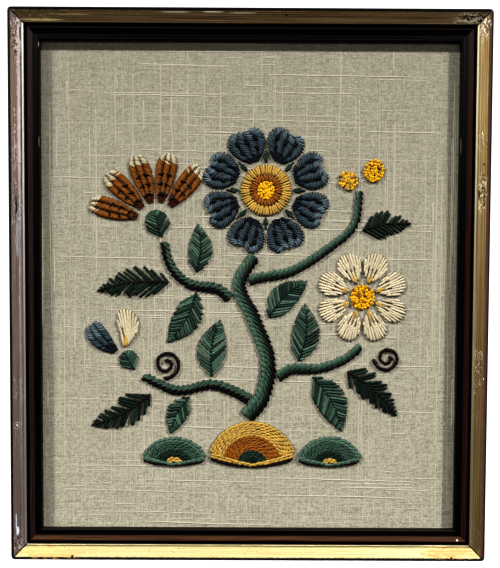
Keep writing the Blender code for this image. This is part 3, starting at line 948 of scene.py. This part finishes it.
def rail(kind, side, turn, length, distance, profile, material, seed, wear):
    """A mitred rail, swept along its profile, with the small unevenness of an old moulding."""
    section = softened(profile, 0.3, 1.4)
    half = length / 2 - MITRE_GAP / math.sqrt(2)
    near_end = np.array([0.0, 0.35, 0.75, 1.2, 1.8, 2.5, 3.5])
    middle = np.linspace(6.0 - half, half - 6.0, round(length / 4.5))
    share = np.concatenate([near_end - half, middle, half - near_end[::-1]]) / half
    inward = np.tile(section[:, 0], len(share))
    height = np.tile(section[:, 1], len(share))
    along = np.repeat(share, len(section)) * (half - inward)
    to_mitre = (half - inward - np.abs(along)) / math.sqrt(2)
    attributes = {"inward": inward, "height": height, "along": along, "to_mitre": to_mitre}
    # The outer corner of the frame is rounded by handling
    from_corner = half - np.abs(along)
    beside, beneath = CORNER_RADIUS - from_corner, CORNER_RADIUS - inward
    away = np.hypot(beside, beneath)
    worn = (beside > 0) & (beneath > 0) & (away > CORNER_RADIUS)
    shrink = np.where(worn, CORNER_RADIUS / np.maximum(away, 1e-6), 1.0)
    sunk_in = CORNER_RADIUS - beneath * shrink
    sunk_along = np.sign(along) * (half - (CORNER_RADIUS - beside * shrink))
    inward = np.where(worn, sunk_in, inward)
    along = np.where(worn, sunk_along, along)
    places = np.column_stack([along, inward, height])
    uneven = wear * (0.6 * ripple(places, 30.0, seed) + 0.4 * ripple(places, 7.0, seed + 1))
    front = np.clip((height - 14) / 4, 0, 1) * np.clip(inward / 1.5, 0.2, 1)
    local = np.column_stack([along, np.abs(uneven) * front - height, distance - inward]) * MM
    points = local @ np.array(Matrix.Rotation(math.radians(turn), 3, "Y").transposed())
    points[:, 2] += MIDDLE_Z * MM
    index = np.arange(len(points)).reshape(len(share), len(section))
    ahead = np.roll(index, -1, axis=1)
    quads = np.stack([index[:-1], index[1:], ahead[1:], ahead[:-1]], axis=2).reshape(-1, 4).tolist()
    quads += [index[0].tolist(), index[-1][::-1].tolist()]
    piece = make_piece(f"{kind}_{side}_rail", points, quads, [material], None, attributes)
    piece.data.set_sharp_from_angle(angle=math.radians(50))
    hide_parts(f"{kind}_{side}")
    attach(piece, "root")
    return piece


def within_band(tree, value, low, high, blur):
    """1 where a value lies between two limits, falling to 0 outside them."""
    rise = add(tree, "MapRange", {"Value": value, "From Min": low - blur, "From Max": low})
    fall = add(tree, "MapRange", {"Value": value, "From Min": high + blur, "From Max": high})
    return add(tree, "Math", {0: rise, 1: fall}, operation="MULTIPLY")


def painted(tree, under, layers):
    """Lays colours over another, each where its share is 1, and gives back the share that they cover."""
    covered = 0.0
    for share, code in layers:
        under = add(tree, "Mix", {0: share, 6: under, 7: linear_colour(code)}, take=2, data_type="RGBA")
        covered = add(tree, "Math", {0: covered, 1: share}, operation="MAXIMUM")
    return under, covered


def gilded_wood(gilding):
    """Old bronze-gold leaf over wood: it shines softly in long streaks, and its edges are rubbed dark."""
    made, tree, shader = new_material(f"gilded wood {gilding.side}")
    names = ("along", "inward", "height", "to_mitre")
    along, inward, height, mitre = (add(tree, "Attribute", take="Fac", attribute_name=name) for name in names)
    place = add(tree, "CombineXYZ", {0: along, 1: inward, 2: height})
    shift = gilding.turn
    streak = grained(tree, place, (0.009, 1.9, 0.9), (shift, 0, 0), Detail=5.0, Roughness=0.7, Distortion=0.3)
    lifted = grained(tree, place, (0.05, 0.2, 0.2), (shift, 3, 0), Detail=1.5, Roughness=0.5, Distortion=2.2)
    flaked = grained(tree, place, (0.16, 0.75, 0.5), Detail=4.0, Roughness=0.6, Distortion=0.8)
    cloud = add(tree, "TexNoise", {"Vector": place, "Scale": 0.03, "Detail": 3.0})
    fine = add(tree, "TexNoise", {"Vector": place, "Scale": 0.8, "Detail": 3.0})
    crumbs = grained(tree, place, (0.3, 0.55, 0.5), (7.0, 0, 0), Detail=3.0, Distortion=1.2)
    even = add(tree, "MapRange", {"Value": streak, "From Min": 0.38, "From Max": 0.62})
    # The leaf's tone runs from one end of the rail to the other, the side rails lighter towards their feet
    end_to_end = {"From Min": -240.0, "From Max": 240.0, "To Min": gilding.near, "To Max": gilding.far}
    retoned = add(tree, "MapRange", {"Value": along, **end_to_end})
    tones = {0: even, 6: linear_colour(gilding.dull), 7: linear_colour(gilding.bright)}
    leaf = add(tree, "Mix", tones, take=2, data_type="RGBA")
    leaf = add(tree, "HueSaturation", {"Color": leaf, "Value": retoned})
    # Where the leaf has lifted, its torn edges show as pale ragged lines, most of all by the mitres
    torn = within_band(tree, lifted, 0.5, 0.506, 0.01)
    loose = {"From Min": 0.6 - gilding.patina, "From Max": 0.64 - gilding.patina}
    frail = add(tree, "MapRange", {"Value": cloud, **loose})
    handled = {"From Min": 24.0, "From Max": 8.0, "To Max": gilding.rubbed}
    by_mitre = add(tree, "MapRange", {"Value": mitre, **handled})
    frail = add(tree, "Math", {0: frail, 1: by_mitre}, operation="MAXIMUM")
    torn = add(tree, "Math", {0: torn, 1: frail}, operation="MULTIPLY")
    # The crown of the moulding is rubbed paler in broken lines
    wavering = add(tree, "Math", {0: lifted, 1: 2.0, 2: inward}, operation="MULTIPLY_ADD")
    crown = within_band(tree, wavering, *GILT_CROWN, 0.8)
    crown = add(tree, "Math", {0: crown, 1: even}, operation="MULTIPLY")
    crown = add(tree, "Math", {0: crown, 1: gilding.crown}, operation="MULTIPLY")
    # Painted highlight: the bead takes each rail's highlight tone
    bead = within_band(tree, inward, *GILT_BEAD, 0.25)
    # Painted shade: the inner wall down to the liner is near black, as the gap there lies in shade
    wall_shade = within_band(tree, inward, *GILT_WALL, 0.1)
    ragged = add(tree, "Math", {0: fine, 1: 1.2, 2: inward}, operation="MULTIPLY_ADD")
    arris = within_band(tree, ragged, -9.0, gilding.arris, 0.5)
    rim = within_band(tree, inward, -9.0, 1.6, 0.5)
    jagged = add(tree, "Math", {0: fine, 1: 0.8, 2: mitre}, operation="MULTIPLY_ADD")
    joint = within_band(tree, jagged, -9.0, 0.85, 0.35)
    # Painted shade in the groove beside the bead; on the bottom rail a pale painted light over the groove's
    # shade
    groove = within_band(tree, inward, *GILT_GROOVE, 0.25)
    groove = add(tree, "Math", {0: groove, 1: gilding.groove}, operation="MULTIPLY")
    back = within_band(tree, height, -9.0, 14.6, 0.8)
    inner = add(tree, "Math", {0: inward, 1: 0.6}, operation="GREATER_THAN")
    bare = add(tree, "Math", {0: back, 1: inner}, operation="MULTIPLY")
    # The bead's painted highlight is laid over the leaf
    gold, _ = painted(tree, leaf, ((crown, gilding.torn), (torn, gilding.torn), (bead, gilding.bead)))
    breaks = {
        "whole": 1.0,
        "streaks": even,
        "crust": add(tree, "MapRange", {"Value": crumbs, "From Min": 0.52, "From Max": 0.57}),
        "pits": add(tree, "MapRange", {"Value": crumbs, "From Min": 0.46, "From Max": 0.42}),
    }
    chips = [Chip(*chip) for chip in CHIPS["gilt_" + gilding.side]]
    worn = [(worn_mark(tree, chip, along, inward, flaked, breaks[chip.broken]), chip.tone) for chip in chips]
    specks = add(tree, "MapRange", {"Value": fine, "From Min": 0.7, "From Max": 0.73})
    # The line beside the bead is painted shade on three rails and painted light on the bottom one
    dark = ((specks, "#1A110C"), (groove, gilding.line), (arris, gilding.edge))
    deep = ((rim, "#0C0806"), (joint, "#0C0806"))
    whole, plain = painted(tree, gold, (*dark, *deep, *worn, (wall_shade, "#120A06"), (bare, "#9C7B55")))
    metal = add(tree, "Math", {0: 1.0, 1: plain}, operation="SUBTRACT")
    burnish = {"From Min": 0.35, "From Max": 0.65, "To Min": 0.52, "To Max": 0.44}
    soft = add(tree, "MapRange", {"Value": streak, **burnish})
    rough = add(tree, "Math", {0: plain, 1: 0.25, 2: soft}, operation="MULTIPLY_ADD")
    ridges = add(tree, "Bump", {"Height": streak, "Strength": 0.5, "Distance": 0.5 * MM})
    crust = add(tree, "Bump", {"Height": torn, "Strength": 0.6, "Distance": 0.4 * MM, "Normal": ridges})
    bump = add(tree, "Bump", {"Height": fine, "Strength": 0.3, "Distance": 0.15 * MM, "Normal": crust})
    finish = {"Base Color": whole, "Metallic": metal, "Roughness": rough, "Normal": bump}
    join(tree, shader, {**finish, "Specular IOR Level": 0.25})
    return made


def worn_mark(tree, chip, along, inward, ragged, broken):
    """A share of 1 inside an oval worn place with a ragged edge, where it isn't broken."""
    parts = []
    for value, middle, half in ((along, chip.along, chip.length / 2), (inward, chip.inward, chip.width / 2)):
        away = add(tree, "Math", {0: value, 1: middle}, operation="SUBTRACT")
        away = add(tree, "Math", {0: away, 1: half}, operation="DIVIDE")
        parts.append(add(tree, "Math", {0: away, 1: 2.0}, operation="POWER"))
    far = add(tree, "Math", {0: parts[0], 1: parts[1]}, operation="ADD")
    shaken = add(tree, "Math", {0: ragged, 1: 0.5}, operation="SUBTRACT")
    far = add(tree, "Math", {0: shaken, 1: chip.ragged, 2: far}, operation="MULTIPLY_ADD")
    mark = within_band(tree, far, -99.0, 0.8, 0.4)
    return add(tree, "Math", {0: mark, 1: broken}, operation="MULTIPLY")


def stained_walnut(side, rubbed, lip_highlight):
    """Walnut stained nearly black, under old satin varnish; its bead and lip carry painted highlights."""
    made, tree, shader = new_material(f"stained walnut {side}")
    along, inward = (add(tree, "Attribute", take="Fac", attribute_name=name) for name in ("along", "inward"))
    place = add(tree, "CombineXYZ", {0: along, 1: inward})
    grain = grained(tree, place, (0.02, 1.2, 1.0), Detail=5.0)
    share = add(tree, "MapRange", {"Value": grain, "From Min": 0.25, "From Max": 0.7})
    # Painted highlight: the bead's wood grain runs up to each rail's highlight tone, brightest on the bottom
    # rail
    stain = {0: share, 6: linear_colour("#1A0E0A"), 7: linear_colour(rubbed)}
    stained = add(tree, "Mix", stain, take=2, data_type="RGBA")
    bead = within_band(tree, inward, *LINER_BEAD, 1.3)
    whole = add(tree, "Mix", {0: bead, 6: linear_colour("#070404"), 7: stained}, take=2, data_type="RGBA")
    # Painted highlight: a line along the lip's edge
    lip = within_band(tree, inward, *LINER_LIP, 0.3)
    chips = [Chip(*chip) for chip in CHIPS["liner_" + side]]
    marks = [(worn_mark(tree, chip, along, inward, grain, 1.0), chip.tone) for chip in chips]
    whole, _ = painted(tree, whole, ((lip, lip_highlight), *marks))
    bump = add(tree, "Bump", {"Height": grain, "Strength": 0.3, "Distance": 0.1 * MM})
    join(tree, shader, {"Base Color": whole, "Normal": bump, "Roughness": 0.38, "Specular IOR Level": 0.16})
    return made


# How the gilding of each rail looks: the tones of its leaf, partly its own and partly painted light with the
# bottom rail's painted brightest; the tone of its torn edges; its bead's painted highlight; the tones of its
# outer edge and of the line beside the bead, painted shade of the groove that on the bottom rail is a pale
# painted light over that shade; how wide that edge is; how strong the line and the rubbed crown; how much
# leaf is frail, and how much is torn by the mitres; and its tone at its two ends
Gilding = namedtuple(
    "Gilding", "side turn dull bright torn bead edge line arris groove crown patina rubbed near far"
)
GILDINGS = (
    Gilding("top", 0, "#7C6038", "#E8CA9A", "#FFF4DC", "#5F523A", "#0C0806", "#2E2114",
            3.4, 1, 0, -0.2, 0.7, 0.78, 0.85),
    Gilding("right", 90, "#78643C", "#C0A878", "#F0E8D4", "#D8CCAC", "#66463A", "#4A3A20",
            4.2, 0.3, 0.2, 0, 0.8, 0.92, 1.6),
    Gilding("bottom", 180, "#F4D896", "#FFF6C4", "#FFF6D0", "#FFF2C0", "#0C0806", "#FFF2A4",
            3.2, 1, 0, -0.2, 0, 1.0, 1.0),
    Gilding("left", 270, "#706058", "#B4A096", "#F6F2F0", "#E6E0DC", "#0C0806", "#1A110C",
            3.1, 0.6, 0.8, 0.05, 0.9, 1.85, 0.45),
)
# Worn places on the rails, in mm along the rail from its middle and inward from its outer edge, and how they
# are broken
Chip = namedtuple("Chip", "along inward length width ragged broken tone")
CHIPS = {
    "gilt_left": (
        (-211, 5.8, 8.0, 2.2, 3.0, "whole", "#DDE4EE"),
        (-203, 4.6, 14.0, 0.9, 2.0, "whole", "#C9CED6"),
        (180, 3.8, 90.0, 2.2, 1.6, "whole", "#8A7460"),
        (214, 6.6, 30.0, 7.0, 6.0, "pits", "#4A3A34"),
        (208, 7.4, 40.0, 6.0, 6.0, "crust", "#C8B8B0"),
        (150, 8.4, 84.0, 2.4, 9.0, "streaks", "#D2C2B8"),
        (122, 5.4, 60.0, 1.6, 8.0, "crust", "#C8B8AC"),
        (-221, 6.8, 14.0, 7.0, 6.0, "pits", "#2E2624"),
        (-223, 6.4, 8.0, 4.0, 5.0, "crust", "#C8C0BC"),
        (66, 6.4, 20.0, 1.6, 3.0, "whole", "#1C1512"),
        (45, 7.0, 36.0, 2.6, 8.0, "streaks", "#C6D0DC"),
    ),
    "gilt_right": (
        (-222, 6.6, 16.0, 7.0, 6.0, "pits", "#6A5438"),
        (-222, 6.6, 16.0, 7.5, 6.0, "crust", "#F4ECE4"),
        (-82, 7.0, 25.0, 6.4, 5.0, "pits", "#33260F"),
        (-82, 7.0, 30.0, 7.0, 5.0, "crust", "#E0D2AE"),
        (-80, 9.4, 8.0, 1.4, 3.0, "whole", "#4A3A20"),
        (-106, 6.2, 1.6, 1.3, 1.0, "whole", "#1A110B"),
        (-97, 6.4, 1.4, 1.2, 1.0, "whole", "#1A110B"),
    ),
    "gilt_bottom": (
        (-176, 6.6, 46.0, 8.0, 7.0, "streaks", "#E0A254"),
        (170, 6.4, 56.0, 8.0, 7.0, "streaks", "#E4AC62"),
        (152, 2.9, 2.4, 2.6, 1.0, "whole", "#2A1B10"),
        (-176, 2.9, 2.0, 2.2, 1.0, "whole", "#2A1B10"),
    ),
    "gilt_top": (
        (30, 6.0, 2.0, 1.6, 1.0, "whole", "#120C08"),
        (-64, 4.2, 26.0, 0.9, 1.5, "whole", "#D8D0B4"),
        (-32, 4.0, 18.0, 0.8, 1.5, "whole", "#E8E2CC"),
        (-6, 4.6, 24.0, 0.8, 1.5, "whole", "#D8D0B4"),
        (-176, 10.2, 36.0, 1.4, 3.0, "whole", "#C8BC84"),
        (-158, 6.2, 52.0, 1.0, 3.0, "whole", "#B4A56C"),
        (-178, 5.6, 44.0, 7.0, 7.0, "streaks", "#20180C"),
        (190, 7.0, 28.0, 8.0, 6.0, "pits", "#140D06"),
        (188, 7.6, 30.0, 7.0, 6.0, "crust", "#D8CEC2"),
    ),
    "liner_left": (
        (206, 24.9, 5.0, 0.9, 0.8, "whole", "#8C8780"),
        (124, 24.9, 9.0, 0.8, 1.5, "whole", "#77726A"),
    ),
    "liner_right": (
        (-122, 24.9, 16.0, 0.8, 1.5, "whole", "#6E675C"),
    ),
    "liner_bottom": (
        (-182, 16.8, 1.8, 1.6, 0.8, "whole", "#E8E4DC"),
    ),
    "liner_top": (),
}
# The painted highlights of each liner rail: the tone its red-brown bead runs up to, and the tone of its lip
LINER_HIGHLIGHTS = {
    "top": ("#120C0A", "#241C18"),
    "right": ("#44281E", "#0E0908"),
    "bottom": ("#62452E", "#6E675A"),
    "left": ("#3E2E2C", "#1C1512"),
}


def frame_rails():
    """The four rails of the gilt moulding, and those of the liner in it."""
    for number, gilding in enumerate(GILDINGS):
        upright = gilding.side in ("left", "right")
        length, distance = (FRAME_HEIGHT, FRAME_WIDTH / 2) if upright else (FRAME_WIDTH, FRAME_HEIGHT / 2)
        place = (gilding.side, gilding.turn, length, distance)
        gilt = rail("gilt", *place, GILT_PROFILE, gilded_wood(gilding), 10 + number, 0.1)
        walnut = stained_walnut(gilding.side, *LINER_HIGHLIGHTS[gilding.side])
        liner = rail("liner", *place, LINER_PROFILE, walnut, 30 + number, 0.05)


def grey_board():
    """Pressed grey board: matt paper pulp with darker and lighter flecks."""
    made, tree, shader = new_material("grey board")
    where = add(tree, "TexCoord", take="Object")
    pulp = add(tree, "TexNoise", {"Vector": where, "Scale": 450.0, "Detail": 5.0})
    share = add(tree, "MapRange", {"Value": pulp, "From Min": 0.3, "From Max": 0.7})
    flecks = {0: share, 6: linear_colour("#6F6757"), 7: linear_colour("#9A917F")}
    pressed = add(tree, "Mix", flecks, take=2, data_type="RGBA")
    bump = add(tree, "Bump", {"Height": pulp, "Strength": 0.3, "Distance": 0.1 * MM})
    join(tree, shader, {"Base Color": pressed, "Normal": bump, "Roughness": 0.9})
    return made


def dress_board():
    """The board's solid stays as it is, and gets the look of pressed board."""
    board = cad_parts["mounting_board"]
    board.material_slots[0].material = grey_board()


def floor():
    """A pale floor that sheds no light on the frame."""
    mesh = bpy.data.meshes.new("floor")
    corners = [(x * FLOOR_SIZE, y * FLOOR_SIZE, FLOOR_DROP) for x, y in ((-1, -1), (1, -1), (1, 1), (-1, 1))]
    mesh.from_pydata(corners, [], [(0, 1, 2, 3)])
    made, tree, shader = new_material("pale floor")
    join(tree, shader, {"Base Color": linear_colour("#E4E2DE"), "Roughness": 0.8})
    mesh.materials.append(made)
    piece = put("floor", mesh)
    piece.visible_diffuse = False
    piece.visible_glossy = False


def camera():
    """The photograph's viewpoint: straight on, from a little above, about 0.6 m away."""
    data = bpy.data.cameras.new("camera")
    data.sensor_fit = "VERTICAL"
    data.sensor_height = 36.0
    data.lens = FOCAL_SHARE * 36.0
    data.clip_start = 0.01
    made = put("camera", data)
    turned = Euler([math.radians(a) for a in CAMERA_TILT], "XYZ").to_matrix()
    upright = Matrix.Rotation(math.radians(90), 3, "X")
    made.matrix_world = (turned @ upright).to_4x4()
    made.location = (Vector(CAMERA_PLACE) + Vector((0.0, 0.0, MIDDLE_Z))) * MM
    bpy.context.scene.camera = made


def light(name, way, power, angle):
    """A distant soft light that shines along a way."""
    data = bpy.data.lights.new(name, "SUN")
    data.energy = power
    data.angle = math.radians(angle)
    made = put(name, data)
    made.rotation_euler = Vector(way).to_track_quat("-Z", "Y").to_euler()


def studio():
    """Two soft lamps from above at the sides, one behind, and a long strip that the gilding reflects."""
    light("lamp from the upper left", (1.65, 1.0, -1.42), 2.28, 4.0)
    light("lamp from the upper right", (-1.65, 1.0, -1.42), 2.81, 4.0)
    light("lamp behind", (-0.5, -1.0, -0.6), 1.6, 20.0)
    strip = bpy.data.lights.new("strip light above the camera", "AREA")
    strip.shape = "RECTANGLE"
    strip.size, strip.size_y = 1.7, 0.3
    strip.energy = 4.0
    strip.color = (1.0, 0.97, 0.92)
    made = put("strip light above the camera", strip)
    made.location = (0.0, -1.55, 0.42)
    made.rotation_euler = (Vector((0.0, 0.0, -0.45)) - made.location).to_track_quat("-Z", "Y").to_euler()
    world = bpy.data.worlds.new("studio")
    bpy.context.scene.world = world
    world.use_nodes = True
    tree = world.node_tree
    tree.nodes.clear()
    seen = add(tree, "LightPath", take="Is Camera Ray")
    dim = add(tree, "Background", {"Color": (0.85, 0.93, 1.1, 1), "Strength": 0.038})
    white = add(tree, "Background", {"Color": (1, 1, 1, 1), "Strength": 1.0})
    both = add(tree, "MixShader", {0: seen, 1: dim, 2: white})
    add(tree, "OutputWorld", {"Surface": both})
    view = bpy.context.scene.view_settings
    view.view_transform = "Standard"
    view.look = "High Contrast"


camera()
studio()
floor()
ground = stretched_linen()
slubs = linen_slubs()
frame_rails()
dress_board()
work_stems()
work_leaves()
work_fronds()
work_mounds()
work_bloom()
work_daisy()
work_carnation()
work_bud()
work_berries()
work_curls()
